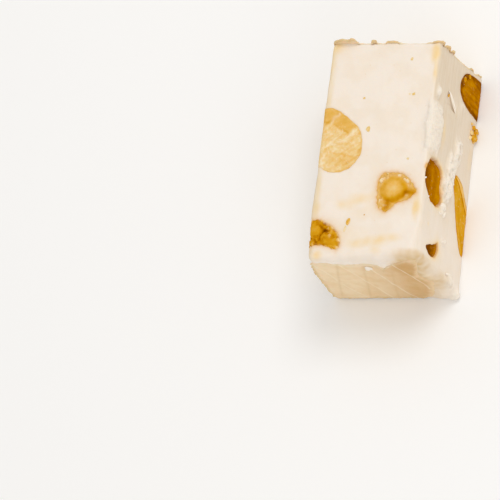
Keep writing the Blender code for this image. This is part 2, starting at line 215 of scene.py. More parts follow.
# The near wafer: its torn outline, and the raised lattice lines pressed into it, across and up.
NEAR_WAFER = [
    (-12.2, 20.2), (-11.7, 21.7), (-9.1, 22.3), (-6.2, 21.2), (-3.6, 20.8), (-0.3, 21.2), (1.6, 20.6),
    (2.6, 19.5), (3.3, 17.9), (4.4, 19.2), (5.9, 20.6), (8.5, 21.7), (10.6, 22.2), (11.7, 20.9),
    (11.0, 18.4), (9.8, 13.8), (11.4, 9.4), (10.2, 4.3), (8.2, 0.9), (4.0, 0.4), (-4.0, 0.4),
    (-11.0, 0.4), (-13.9, 0.5), (-13.9, 4.0), (-13.45, 10.0), (-13.0, 16.0),
]
SOFT_LINES = [
    [(-5.8, 22.1), (-8.7, 12.7), (-11.9, 1.7)],
    [(-0.6, 20.2), (-3.3, 9.5), (-5.9, -0.3)],
    [(4.6, 16.5), (2.5, 8.2), (0.7, 0.4)],
    [(9.0, 11.0), (7.6, 4.6), (6.4, -0.3)],
]
BRIGHT_LINES = [
    [(5.9, 20.7), (7.5, 15.1), (9.2, 9.4), (9.6, 6.2)],
    [(0.4, 18.3), (1.4, 14.2), (2.4, 9.4), (4.1, 3.0), (5.5, 0.4)],
    [(-8.8, 9.5), (-7.7, 5.0), (-5.9, 1.1)],
    [(-11.2, 20.3), (-9.7, 15.3), (-9.3, 11.4)],
    [(-6.0, 22.0), (-3.9, 14.6), (-2.0, 7.2), (-0.4, 1.0)],
]
FAR_WAFER = [
    (-12.3, 22.0), (-12.2, 23.8), (-11.5, 24.6), (-10.2, 25.3), (-9.2, 25.6), (-8.0, 25.4),
    (-7.2, 25.8), (-6.6, 25.3), (-6.0, 24.4), (-4.8, 23.7), (-3.6, 23.9), (-2.6, 24.9), (-2.0, 24.2),
    (-1.0, 23.7), (0.2, 24.2), (1.6, 24.4), (3.2, 24.2), (4.2, 23.5), (7.0, 23.3), (9.2, 23.4),
    (10.2, 24.1), (11.6, 24.4), (12.8, 24.2), (13.2, 23.2), (12.7, 21.8), (13.4, 20.6), (13.0, 19.2),
    (13.5, 17.8), (12.9, 15.8), (13.1, 12.0), (13.3, 9.0), (13.6, 6.2), (13.5, 3.6), (13.8, 1.6),
    (13.4, 0.6), (6.0, 0.5), (-4.0, 0.5), (-12.0, 0.5), (-13.0, 1.0), (-13.0, 5.0), (-12.8, 12.0),
    (-12.5, 18.0),
]

# Where the far wafer stands away from the rounded edge: across and up, and how far it reaches.
FAR_FLAPS = [
    ((-9.0, 25.0), 3.6), ((-2.4, 24.8), 1.0), ((1.6, 24.4), 1.9), ((12.2, 24.2), 1.9),
    ((13.4, 20.4), 1.8), ((13.7, 17.6), 1.4), ((13.8, 5.8), 1.6), ((14.0, 1.4), 1.6),
]

# Small bits on the faces: chart, place there, half sizes, turn, rise and tone.
EDGE_BITS = [
    ("right", (10.8, 1.5), (0.9, 1.2, 0.8), 20, 0.1, 0.52),
    ("right", (12.3, 0.7), (0.8, 0.9, 0.7), 60, 0.1, 0.58),
    ("right", (11.4, 3.1), (0.5, 0.5, 0.5), 0, 0.1, 0.15),
    ("right", (12.9, 2.1), (0.5, 0.7, 0.5), 30, 0.1, 0.5),
    ("right", (10.1, 3.5), (0.4, 0.6, 0.4), 50, 0.0, 0.1),
    ("right", (9.9, 1.4), (0.35, 0.5, 0.35), 10, 0.1, 0.3),
    ("right", (13.4, 3.2), (0.3, 0.35, 0.3), 10, 0.05, 0.35),
]
NUT_CHIPS = [
    ("right", (21.2, 9.3), (0.9, 0.5, 0.26), -40, 0.12, 0.64),
    ("right", (22.3, 8.2), (0.9, 0.5, 0.26), -50, 0.12, 0.94),
    ("right", (22.9, 6.9), (0.7, 0.45, 0.24), -60, 0.12, 0.62),
    ("right", (19.9, 10.1), (0.8, 0.4, 0.24), -20, 0.12, 0.92),
    ("top", (-1.55, 4.0), (0.6, 0.85, 0.16), 10, -0.1, 0.16),
    ("top", (-3.5, -16.7), (0.5, 0.9, 0.2), -20, -0.06, 0.38),
    ("top", (-4.1, -18.2), (0.4, 0.9, 0.14), -10, -0.1, 0.05),
    ("top", (-3.35, 11.3), (0.36, 0.3, 0.12), 0, -0.05, 0.2),
    ("top", (6.45, 19.9), (0.42, 0.42, 0.12), 0, -0.06, 0.14),
    ("top", (7.6, 12.0), (0.45, 0.36, 0.12), 20, -0.05, 0.2),
    ("top", (6.7, 12.0), (0.4, 0.3, 0.1), 0, -0.06, 0.0),
    ("top", (8.05, -2.7), (0.3, 0.3, 0.1), 0, -0.05, 0.14),
    ("top", (-4.25, -23.6), (0.16, 0.55, 0.12), -35, -0.03, 0.42),
    ("top", (-0.1, -15.2), (0.16, 0.16, 0.1), 0, -0.04, 0.5),
    ("right", (14.4, 16.8), (0.5, 0.22, 0.15), -30, -0.02, 0.5),
]
WHITE_CRUMBS = [
    ("near", (0.3, 18.9), (0.75, 0.95, 0.16), 20, 0.42, 0.0),
    ("near", (-0.2, 18.2), (0.5, 0.5, 0.14), 20, 0.44, 0.0),
    ("right", (-16.8, 11.8), (0.35, 0.9, 0.2), 25, 0.0, 0.0),
    ("right", (-22.6, 7.4), (0.3, 1.9, 0.26), 12, 0.02, 0.0),
    ("right", (-23.4, 4.6), (0.3, 1.2, 0.3), -10, 0.0, 0.0),
    ("near", (12.2, 1.0), (0.7, 0.45, 0.3), 10, 0.05, 0.0),
    ("right", (-6.9, 24.0), (0.2, 0.3, 0.18), 30, 0.0, 0.0),
    ("right", (-10.3, 21.6), (0.18, 0.26, 0.16), 50, 0.0, 0.0),
    ("right", (-9.9, 13.9), (1.0, 1.5, 0.45), 35, 0.0, 0.0),
    ("right", (-11.0, 12.9), (0.6, 1.0, 0.4), 70, 0.0, 0.0),
    ("right", (-11.4, 15.0), (0.5, 0.7, 0.35), 0, 0.0, 0.0),
    ("right", (14.0, 14.2), (0.42, 3.2, 0.24), -28, 0.0, 0.0),
]

# A nut cut by a face: its piece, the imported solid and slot, its chart, outline, centre and look, the
# amber glow round it and how far that spreads, and how ragged, covered and proud it is.
CutNut = namedtuple(
    "CutNut", "piece node slot chart outline centre look glow spread rag cover proud",
    defaults=(0.1, 0.0, 0.05),
)


def ease(value, low, high):
    """0 below low, 1 above high, and a smooth rise between them."""
    share = np.clip((value - low) / (high - low), 0.0, 1.0)
    return share * share * (3 - 2 * share)


def grain(places, span, shift=0.0):
    """Smooth noise from -1 to 1, with lumps about span across."""
    return np.array([noise.noise(place) for place in (places / span + shift).tolist()])


def ridged(places, span, shift=0.0):
    """Noise from 0 to 1 with sharp crests, as where nougat tears."""
    return 1 - np.abs(grain(places, span, shift)) * 2


def chunks(places, span, shift=0.0):
    """How far each place is from a crack between chunks, and the level of its own chunk."""
    gaps = []
    levels = []
    for place in (places / span + shift).tolist():
        away, seeds = noise.voronoi(place)
        gaps.append(away[1] - away[0])
        levels.append(noise.cell(seeds[0] * 7.3))
    return np.array(gaps), np.array(levels)


def drift(places, span, shift):
    """A small wander across and up at each place, which makes a drawn line less even."""
    return np.column_stack([grain(places, span, shift), grain(places, span, shift + 3.0)])


def combed(flat, one, two):
    """Flat places measured along two directions, for noise that runs with a nut's grain."""
    return np.column_stack([flat @ one, flat @ two, flat[:, 0] * 0])


def apart(places, centre, reach=1.0):
    """How far each place is from a centre, counted in reaches."""
    return np.linalg.norm((places - centre) / reach, axis=1)


def bell(value, width):
    """1 at zero, falling off smoothly over a width on both sides."""
    return np.exp(-(value / width) ** 2)


def edge_radius(sharp):
    """How round the edges are at places of the sharp block."""
    upper = ease(sharp[:, 2], 2, 9) * (0.4 + 0.6 * ease(sharp[:, 0], -11, -5))
    right = ease(sharp[:, 0], 2, 9) * ease(sharp[:, 2], -11.5, -7.5)
    dragged = ease(-sharp[:, 1], 16, 23) * np.maximum(upper, right)
    return EDGE_RADIUS + (DRAGGED_RADIUS - EDGE_RADIUS) * dragged


def rounded(sharp):
    """Places of the sharp block's skin once its edges are round, and which way is out."""
    radius = edge_radius(sharp)[:, None]
    core = np.clip(sharp, radius - HALF, HALF - radius)
    outward = sharp - core
    outward /= np.linalg.norm(outward, axis=1)[:, None]
    return core + outward * radius, outward


def warped(sharp):
    """Places moved as the block's crooked corners move, and lifted to stand on its base."""
    right, far, up = ((sharp / HALF + 1) / 2).T
    level = CORNERS[0] + (CORNERS[1] - CORNERS[0]) * up[:, None, None, None]
    row = level[:, 0] + (level[:, 1] - level[:, 0]) * far[:, None, None]
    plan = row[:, 0] + (row[:, 1] - row[:, 0]) * right[:, None]
    return np.column_stack([plan, up * HEIGHT])


def patches(places, spots):
    """The sum of soft round patches, each strongest at its centre and gone past its reach."""
    total = np.zeros(len(places))
    for centre, reach, strength in spots:
        away = (((places - centre) / reach) ** 2).sum(1)
        total += strength * np.clip(1 - away, 0, 1) ** 2
    return total


def relief(place, outward):
    """How far the faces swell. The base stays flat, and the ends nearly so."""
    swell = 0.25 * grain(place, 9.0) + 0.08 * grain(place, 2.6)
    torn = patches(place, TEARS) * (0.7 + 0.6 * grain(place, 1.7))
    open_face = ease(outward[:, 2], -0.75, -0.2) * (1 - 0.8 * ease(np.abs(outward[:, 1]), 0.5, 0.9))
    return (swell + torn) * open_face


def on_bar(sharp):
    """Places of the sharp block's skin as they lie on the bar, and which way is out."""
    soft, outward = rounded(sharp)
    place = warped(soft)
    return place + outward * relief(place, outward)[:, None], outward


def lifted(place, outward, lift):
    """Places moved out from the bar, but never below the base that it lies on."""
    kept = np.where(lift > 0, lift * ease(outward[:, 2], -0.9, -0.4), lift)
    return place + outward * kept[:, None]


def edge_x(along, right, top):
    """How far across a long edge of the crooked block lies at each place along it."""
    corners = CORNERS[top, :, right]
    return np.interp(along, corners[:, 1], corners[:, 0])


def unrolled(sharp, chart):
    """Where places of the block's skin lie on a chart. Far off it, they are 99 away."""
    x, y, z = warped(sharp).T
    top = sharp[:, 2] > HALF[2] - 1e-6
    base = sharp[:, 2] < 1e-6 - HALF[2]
    sides = [sharp[:, 0] < 1e-6 - HALF[0], sharp[:, 0] > HALF[0] - 1e-6]
    if chart == "base":
        return np.column_stack([np.where(base, x, 99), y])
    if chart == "top":
        across = np.where(sides[0], edge_x(y, 0, 1) - (HEIGHT - z), 99)
        across = np.where(sides[1], edge_x(y, 1, 1) + (HEIGHT - z), across)
        return np.column_stack([np.where(top, x, across), y])
    right = int(chart == "right")
    inward = 2 * right - 1
    rise = np.where(sides[right], z, 99)
    rise = np.where(top, HEIGHT + inward * (edge_x(y, right, 1) - x), rise)
    rise = np.where(base, inward * (x - edge_x(y, right, 0)), rise)
    return np.column_stack([y, rise])


def on_skin(flat, chart):
    """The places of the block's skin that places of a chart stand for."""
    if chart in ("near", "far"):
        end = HALF[1] if chart == "far" else -HALF[1]
        sharp = np.column_stack([flat[:, 0], np.full(len(flat), end), flat[:, 1] - HALF[2]])
        for _ in range(5):
            sharp[:, 0] += flat[:, 0] - warped(sharp)[:, 0]
        return sharp
    if chart in ("top", "base"):
        top = int(chart == "top")
        across, along = flat.T
        left_over = edge_x(along, 0, top) - across
        right_over = across - edge_x(along, 1, top)
        side = np.where(left_over > 0, -1, np.where(right_over > 0, 1, 0))
        depth = np.maximum(0, np.maximum(left_over, right_over))
        rise = (HALF[2] - depth) * (2 * top - 1)
    else:
        right = int(chart == "right")
        way = 2 * right - 1
        along, height = flat.T
        over = np.maximum(height - HEIGHT, 0)
        under = np.maximum(-height, 0)
        side = np.where((over > 0) | (under > 0), 0, way)
        rise = np.clip(height, 0, HEIGHT) - HALF[2]
        upper = edge_x(along, right, 1) - way * over
        across = np.where(over > 0, upper, edge_x(along, right, 0) - way * under)
    wanted = np.column_stack([across, along])
    sharp = np.column_stack([across, along, rise])
    for _ in range(5):
        sharp[:, :2] += wanted - warped(sharp)[:, :2]
        sharp[:, 0] = np.where(side, side * HALF[0], sharp[:, 0])
        sharp = np.clip(sharp, -HALF, HALF)
    return sharp


def smooth_loop(corners, spacing, rag=0.0, seed=0.0):
    """A closed curve through the corners, in even steps, with a slightly ragged run."""
    corners = np.array(corners, float)
    before, after, beyond = np.roll(corners, 1, 0), np.roll(corners, -1, 0), np.roll(corners, -2, 0)
    curve = []
    for share in np.linspace(0, 1, 12, endpoint=False):
        bend = 2 * corners + (after - before) * share
        bend += (2 * before - 5 * corners + 4 * after - beyond) * share ** 2
        bend += (3 * corners - before - 3 * after + beyond) * share ** 3
        curve.append(bend / 2)
    curve = np.stack(curve, 1).reshape(-1, 2)
    closed = np.vstack([curve, curve[:1]])
    run = np.concatenate([[0], np.cumsum(np.linalg.norm(np.diff(closed, axis=0), axis=1))])
    steps = np.linspace(0, run[-1], round(run[-1] / spacing), endpoint=False)
    loop = np.column_stack([np.interp(steps, run, closed[:, 0]), np.interp(steps, run, closed[:, 1])])
    ahead = np.roll(loop, -1, 0) - np.roll(loop, 1, 0)
    side = np.column_stack([ahead[:, 1], -ahead[:, 0]]) / np.linalg.norm(ahead, axis=1)[:, None]
    lofted = np.column_stack([loop, np.full(len(loop), seed)])
    wander = grain(lofted, 0.9) + 0.5 * grain(lofted, 0.4)
    return loop + side * (rag * wander)[:, None]


def line_gap(flat, line, closed=False):
    """How far each place is from a run of straight pieces, and the nearest place on it."""
    start = np.array(line, float)
    end = np.roll(start, -1, 0)
    if not closed:
        start, end = start[:-1], end[:-1]
    run = end - start
    share = ((flat[:, None] - start) * run).sum(2) / (run ** 2).sum(1)
    foot = start + np.clip(share, 0, 1)[..., None] * run
    away = np.linalg.norm(flat[:, None] - foot, axis=2)
    best = away.argmin(1)
    rows = np.arange(len(flat))
    return away[rows, best], foot[rows, best]


def loop_gap(flat, loop, reach=3.0):
    """How far each place is outside a loop, less than zero inside, and its nearest place on it."""
    gap = np.full(len(flat), 99.0)
    nearest = flat.copy()
    close = np.flatnonzero(((flat > loop.min(0) - reach) & (flat < loop.max(0) + reach)).all(1))
    if len(close) == 0:
        return gap, nearest
    here = flat[close]
    away, nearest[close] = line_gap(here, loop, closed=True)
    start, end = loop, np.roll(loop, -1, 0)
    spans = (start[:, 1] > here[:, 1:]) != (end[:, 1] > here[:, 1:])
    rise = np.where(end[:, 1] == start[:, 1], 1, end[:, 1] - start[:, 1])
    crossing = start[:, 0] + (here[:, 1:] - start[:, 1]) / rise * (end[:, 0] - start[:, 0])
    inside = (spans & (here[:, :1] < crossing)).sum(1) % 2 == 1
    gap[close] = np.where(inside, -away, away)
    return gap, nearest


def block_grid(pitch):
    """Places over the whole skin of the sharp block, and the quads that join them."""
    steps = np.round(2 * HALF / pitch).astype(int)
    rings = []
    for fixed in range(3):
        one, two = (fixed + 1) % 3, (fixed + 2) % 3
        row, column = np.meshgrid(np.arange(steps[one]), np.arange(steps[two]), indexing="ij")
        for side in (0, steps[fixed]):
            ring = np.zeros((row.size, 4, 3), int)
            ring[:, :, fixed] = side
            ring[:, :, one] = row.reshape(-1, 1) + [0, 1, 1, 0]
            ring[:, :, two] = column.reshape(-1, 1) + [0, 0, 1, 1]
            rings.append(ring if side else ring[:, ::-1])
    rings = np.concatenate(rings)
    sizes = steps + 1
    codes = (rings[..., 0] * sizes[1] + rings[..., 1]) * sizes[2] + rings[..., 2]
    kept, quads = np.unique(codes, return_inverse=True)
    lattice = np.column_stack(
        [kept // (sizes[1] * sizes[2]), kept // sizes[2] % sizes[1], kept % sizes[2]]
    )
    return (2 * lattice / steps - 1) * HALF, quads.reshape(-1, 4)


def solid(name, places, faces, finish, paint=None):
    """A smooth mesh object from places in millimetres, with named values painted on its points."""
    mesh = bpy.data.meshes.new(name)
    mesh.from_pydata((np.asarray(places) * MM).tolist(), [], [list(face) for face in faces])
    for key, values in (paint or {}).items():
        layer = mesh.attributes.new(key, "FLOAT", "POINT")
        layer.data.foreach_set("value", np.asarray(values, np.float32))
    mesh.materials.append(finish)
    mesh.shade_smooth()
    mesh.set_sharp_from_angle(angle=math.radians(65))
    mesh.validate()
    piece = bpy.data.objects.new(name, mesh)
    bpy.context.scene.collection.objects.link(piece)
    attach(piece, "root")
    return piece


def stands_for(piece, node):
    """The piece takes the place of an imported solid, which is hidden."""
    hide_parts(node)


def sphere(subdivisions):
    """The places and faces of a ball of radius 1."""
    shape = bmesh.new()
    bmesh.ops.create_icosphere(shape, subdivisions=subdivisions, radius=1.0)
    unit = np.array([vert.co[:] for vert in shape.verts])
    faces = [[vert.index for vert in face.verts] for face in shape.faces]
    shape.free()
    return unit, faces


def fanned(loop, centre, pitch, rim=(0.14, 0.05)):
    """Flat places in rings from a centre out to a loop, how far in each lies, and the quads.

    The centre comes first, and the last ring is the loop itself.
    """
    reach = np.linalg.norm(loop - centre, axis=1)
    count = max(3, round(reach.max() / pitch))
    shares = list(np.linspace(0, 1, count, endpoint=False)[1:] * (1 - rim[0] / reach.mean()))
    shares += [1 - gap / reach.mean() for gap in rim] + [1.0]
    flat = [np.array([centre])] + [centre + (loop - centre) * share for share in shares]
    gaps = [[reach.mean()]] + [reach * (1 - share) for share in shares]
    around = len(loop)
    faces = [(0, 1 + i, 1 + (i + 1) % around) for i in range(around)]
    for ring in range(len(shares) - 1):
        low = 1 + ring * around
        for i in range(around):
            j = (i + 1) % around
            faces.append((low + i, low + around + i, low + around + j, low + j))
    return np.vstack(flat), np.concatenate(gaps), faces


def turned_out(faces, places, outward):
    """The faces, all turned over if they look into the bar."""
    a, b, c = (places[[face[i] for face in faces]] for i in range(3))
    sense = (np.cross(b - a, c - a) * outward[[face[0] for face in faces]]).sum()
    return faces if sense > 0 else [face[::-1] for face in faces]


def cut_nut(cut, loop, finish):
    """A nut whose cut face lies flush in a face of the bar, going a little way into it.

    Its look takes flat places, places on the bar and how far in from the rim they are, and gives
    how far the face rises there and the values painted on it. Its cover is how wide a margin of it
    lies under a film of nougat.
    """
    flat, inset, faces = fanned(loop, np.array(cut.centre), NUT_PITCH)
    around = len(loop)
    place, outward = on_bar(on_skin(flat, cut.chart))
    rise, paint = cut.look(flat, place, inset)
    shoulder = np.sqrt(np.clip(1 - (1 - inset / 0.16) ** 2, 0, 1))
    shoulder = np.where(inset > 0.16, 1.0, shoulder)
    film = FILM * (1 - ease(inset, cut.cover, cut.cover + 0.3)) if cut.cover else 0.0
    top = lifted(place, outward, (cut.proud + rise) * shoulder - film)
    rim, rim_out = place[-around:], outward[-around:]
    middle = place[:1] - outward[:1] * NUT_DEPTH
    places = np.vstack([top, rim - rim_out * 0.25, rim - rim_out * 0.5, middle])
    faces = turned_out(faces, top, outward)
    turn = 1 if faces[0][1] + 1 == faces[0][2] or faces[0][1] == around else -1
    first = len(top) - around
    skirt = []
    for ring in (first, first + around):
        for i in range(around):
            j = (i + 1) % around
            skirt.append((ring + i, ring + around + i, ring + around + j, ring + j)[::turn])
    bottom = first + 2 * around
    for i in range(around):
        skirt.append((bottom + i, len(places) - 1, bottom + (i + 1) % around)[::turn])
    for key, values in paint.items():
        edge = values[-around:]
        paint[key] = np.concatenate([values, edge, edge, edge[:1]])
    stands_for(solid(cut.piece, places, faces + skirt, finish, paint), cut.node)


def snapped(sharp, flat, loop, chart):
    """How far places of the skin are from a loop, once those beside it are moved onto it."""
    gap, nearest = loop_gap(flat, loop)
    beside = np.abs(gap) < SNAP
    sharp[beside] = on_skin(nearest[beside], chart)
    gap[beside] = 0
    return gap


def scooped(place, outward):
    """How deep the crescent is that the knife flicked out of the right face."""
    scoop = place - [0, 12.2, 14.4]
    scoop[:, 1] -= 0.22 * scoop[:, 2]
    depth = 0.7 * ease(scoop[:, 1] + 0.06 * scoop[:, 2] ** 2, -0.1, 0.3)
    depth *= (1 - ease(scoop[:, 1], 0.3, 3.4)) * (1 - ease(np.abs(scoop[:, 2]), 1.8, 3.6))
    return depth * ease(outward[:, 0], 0.5, 0.9)


def nougat_block(finish, nuts, hollows, wafer_loop):
    """The block itself: beds under the cut nuts, two hollows, torn patches and knife streaks."""
    sharp, quads = block_grid(SKIN_PITCH)
    flats = {chart: unrolled(sharp, chart) for chart in ("top", "base", "left", "right")}
    bed = np.zeros(len(sharp))
    halo = np.zeros(len(sharp))
    calm = np.ones(len(sharp))
    for cut, loop in nuts:
        gap = snapped(sharp, flats[cut.chart], loop, cut.chart)
        bed = np.minimum(bed, -BED_DEPTH * ease(-gap, 0.05 + cut.cover, 0.4 + cut.cover))
        halo = np.maximum(halo, cut.glow * np.exp(-np.clip(gap + cut.cover, 0, None) / cut.spread))
        calm *= ease(gap, 0.0, 0.9)
    shade = np.zeros(len(sharp))
    honey = np.zeros(len(sharp))
    for loop, depth in hollows:
        gap = snapped(sharp, flats["right"], loop, "right")
        gentle = 1 - ease(warped(sharp)[:, 2], 16.0, 20.0)
        bed = np.minimum(bed, -depth * ease(-gap, -0.05, 0.45 + 0.5 * gentle))
        honey = np.maximum(honey, (0.4 + 0.5 * gentle) * np.exp(-np.clip(gap, 0, None) / 0.5))
        shade = np.maximum(shade, ease(-gap, -0.1 * gentle, 0.35))
        calm *= ease(gap, -0.1, 0.5)
    place, outward = on_bar(sharp)
    backing = far_curl(warped(sharp)[:, [0, 2]]) * ease(sharp[:, 1], 22.6, 24.4)
    place += (warped(sharp) - warped(rounded(sharp)[0])) * (0.9 * backing)[:, None]
    side = ease(np.abs(outward[:, 0]), 0.3, 0.8)
    torn = np.clip(patches(place, ROUGHS) * (2.1 + 1.6 * grain(place, 1.5, 8.0)), 0, 1)
    shreds = ease(ridged(place * [1, 0.7, 1.3], 1.5, 7.0), 0.25, 0.7)
    fluff = 0.42 * shreds + ridged(place, 0.75, 3.0) * 0.24 + ridged(place, 0.45) * 0.08
    ragged = 0.5 * grain(place, 0.9, 1.0)
    crest = ease(place[:, 0] + ragged, 10.9, 11.9) * ease(place[:, 2] + ragged, 19.0, 20.4)
    crest *= ease(place[:, 1] + ragged, -1.6, 0.2) * (1 - ease(place[:, 1] + ragged, 9.4, 11.4))
    streaks = grain(place * [2.4, 0.16, 2.4], 1.0) * 0.05 + grain(place * [5.0, 0.3, 5.0], 1.0) * 0.02
    fine = 0.03 * grain(place, 1.2, 5.0) + 0.012 * grain(place, 0.55, 9.0)
    gap, _ = loop_gap(place[:, [0, 2]], wafer_loop, reach=30.0)
    lip = 0.22 * ease(gap, -0.45, 0.1) + (LIP - 0.22) * ease(gap, 0.0, 1.6)
    lip *= ease(-outward[:, 1], 0.1, 0.7) * (1 + 0.3 * grain(place, 1.6, 2.0))
    lip *= near_tuck(place[:, [0, 2]])
    lumps = 0.26 + 0.22 * ridged(place * [1, 0.8, 1], 1.2, 6.0) + 0.16 * ridged(place, 0.6, 2.0)
    lift = fluff * torn + lumps * crest - scooped(place, outward) + streaks * side + fine
    lift = np.where(outward[:, 2] < -0.4, np.minimum(lift, 0) * 0.5, lift)
    places = lifted(place, outward, lift * calm + bed + lip)
    white = np.clip(patches(place, WHITES) * 1.5, 0, 1) * (0.75 + 0.5 * grain(place, 1.3, 4.0))
    white = np.clip(np.maximum.reduce([white * 0.8, crest * 0.8, torn * (0.3 + shreds)]), 0, 1)
    stain = np.clip(patches(place, STAINS) * 1.3, 0, 1) * (0.85 + 0.5 * grain(place, 1.6, 6.0))
    stain = np.maximum(stain, honey)
    halo = np.maximum(halo, np.clip(patches(place, AMBERS) * 1.3, 0, 1))
    strip = ease(edge_x(place[:, 1], 0, 1) - place[:, 0], -2.0, -0.7) * ease(place[:, 2], 20.5, 23)
    strip *= 0.65 + 0.5 * grain(place * [1, 0.4, 1], 1.5, 2.0)
    smear = bell(np.clip(gap, 0, None), 1.9) * ease(-outward[:, 1], 0.1, 0.5)
    smear *= ease(place[:, 0], 4.0, 8.0) * (1 - 0.5 * ease(10.0 - place[:, 2], 0.0, 6.0))
    # Painted shade on the side faces: their colour is greyed, more towards the far end and less near the
    # base.
    side_shade = 0.27 + 0.38 * ease(place[:, 1], -17, -5) + 0.22 * ease(place[:, 1], -5, 14)
    side_shade *= 1 - 0.2 * ease(-place[:, 2], -14, -4)
    paint = {
        "white": white * (1 - shade) * (1 - np.clip(smear, 0, 1)),
        "torn": np.maximum(torn, crest),
        "stain": np.clip(stain, 0, 1),
        "halo": np.clip(halo * (0.9 + 0.4 * grain(place, 0.8)), 0, 1),
        "strip": np.clip(strip, 0, 1),
        "smear": smear * (0.8 + 0.4 * grain(place, 1.1, 9.0)),
        "side": side,
        "side_shade": side * side_shade,
        "hollow": shade,
    }
    stands_for(solid("nougat_block", places, quads.tolist(), finish, paint), "nougat")


def drawn(flat, lines, width):
    """1 on the lines, fading to 0 past their width."""
    total = np.zeros(len(flat))
    for line in lines:
        gap, _ = line_gap(flat, line)
        total = np.maximum(total, bell(gap, width))
    return total


def half_nut_look(flat, place, inset):
    """Pale granular flesh, mottled on a slant, and a smoother golden band along its far rim."""
    band = [
        (-12.6, 10.4), (-8.6, 9.4), (-6.0, 7.4), (-3.8, 5.0), (-4.7, 4.4), (-6.0, 3.2), (-7.2, 4.0),
        (-8.35, 4.5), (-9.8, 5.8), (-10.4, 5.7), (-11.5, 5.6), (-12.6, 5.8),
    ]
    gap, _ = loop_gap(flat, smooth_loop(band, 0.4))
    golden = 1 - ease(gap + 0.25 * grain(place, 0.6, 2.0), -0.35, 0.3)
    dark_lines = [
        [(-11.6, 6.0), (-10.4, 5.9), (-9.3, 6.9), (-8.7, 8.1)],
        [(-6.3, -3.8), (-4.5, -3.2), (-3.2, -1.6), (-2.9, 0.0)],
        [(-9.3, -1.2), (-5.9, -1.75), (-3.8, -2.5)],
        [(-11.3, 5.6), (-9.8, 5.8), (-8.4, 4.5), (-7.2, 4.0), (-6.1, 3.2)],
        [(-15.0, 6.5), (-14.2, 3.0), (-15.4, -0.5)],
    ]
    pale_lines = [
        [(-10.2, 5.9), (-8.6, 7.7)],
        [(-7.1, 1.3), (-5.9, 2.3), (-4.6, 3.8)],
        [(-10.7, -1.7), (-11.5, -3.1), (-11.0, -4.2)],
        [(-10.4, 0.6), (-8.6, 2.2)],
    ]
    shaky = flat + 0.35 * drift(place, 0.9, 4.0)
    dark = drawn(shaky, dark_lines, 0.24)
    pale = drawn(shaky, pale_lines, 0.34)
    slant = grain(combed(flat, [0.3, 0.2], [-0.75, 1.1]), 1.0, 1.0)
    speckle = grain(combed(flat, [1.2, 0.8], [-1.5, 2.2]), 1.0, 5.0)
    rough = 1 - 0.6 * golden
    rise = (0.035 * grain(place, 0.5) + 0.03 * slant) * rough - 0.06 * dark + 0.04 * pale + 0.03 * golden
    rim = 1 - ease(inset + 0.2 * grain(place, 0.7, 9.0), 0.1, 0.6)
    rim *= ease(flat[:, 0] - 0.4 * flat[:, 1], -7.5, -3.0)
    tone = 0.2 + 0.18 * golden + 0.14 * rim + 0.14 * dark - 0.08 * pale
    tone += rough * (0.14 * slant + 0.13 * speckle + 0.08 * grain(place, 0.55, 8.0))
    tone += 0.07 * grain(place, 1.6, 3.0)
    tone += 0.06 * (1 - ease(apart(flat, [-6.8, -2.6], [3.0, 1.6]), 0.6, 1.2))
    crystals = rough * ease(0.5 * speckle + 0.9 * grain(place, 0.42, 2.0), 0.25, 0.7)
    return rise, {"tone": tone, "frost_and_glints": np.clip(0.1 * rough + 0.35 * pale + 0.4 * crystals, 0, 1)}


def cupped_nut_look(flat, place, inset):
    """A domed amber heart with a painted highlight at its middle, in a moat, inside a ring of pale
    sugary crystals.
    """
    heart = flat - [5.75, -9.6]
    reach = apart(heart, 0) * (1 + 0.08 * grain(place, 2.0, 4.0))
    tails = drawn(flat, [[(6.2, -9.8), (10.0, -10.4)], [(5.5, -10.4), (4.4, -13.6)]], 1.15)
    amber = np.maximum(1 - ease(reach, 2.8, 3.3), tails)
    ring = (1 - amber) * ease(inset, 0.2, 0.8)
    gap, level = chunks(place, 0.62)
    crystal = ring * (level * 0.2 - 0.1 * (1 - ease(gap, 0.0, 0.3)))
    moat = bell(reach - 3.0, 0.5) * (1 - tails)
    dome = 0.24 * (1 - np.clip(reach / 2.9, 0, 1) ** 2)
    lobe = bell(apart(flat, [3.9, -13.9]), 0.9)
    rough = 0.08 * (grain(place, 0.5, 6.0) - lobe) * ease(reach, 2.8, 3.4)
    rise = dome - 0.14 * moat + crystal - 0.08 * tails * ease(reach, 2.4, 3.2) + rough
    warm = bell(reach - 2.2, 0.8)
    low = ease(-heart[:, 1] + 0.5 * heart[:, 0], 0.5, 3.5)
    tone = 0.34 + amber * (0.04 + 0.22 * warm * (0.5 + low) + 0.3 * tails * ease(reach, 2.0, 3.0))
    # Painted highlight: the middle of the domed heart is made paler.
    tone -= 0.13 * bell(apart(heart, [-0.1, 0.1]), 1.5)
    tone += 0.08 * ring + 0.1 * (1 - ease(inset, 0.2, 0.9))
    tone += 0.08 * grain(place, 0.7) - 0.06 * ring * level
    frost_and_glints = ring * (0.16 + 0.5 * ease(level + 0.15 * heart[:, 1] / 3, 0.72, 0.9))
    frost_and_glints += 0.6 * lobe * ease(grain(place, 0.6, 9.0), 0.0, 0.5)
    return rise, {"tone": tone, "frost_and_glints": frost_and_glints}


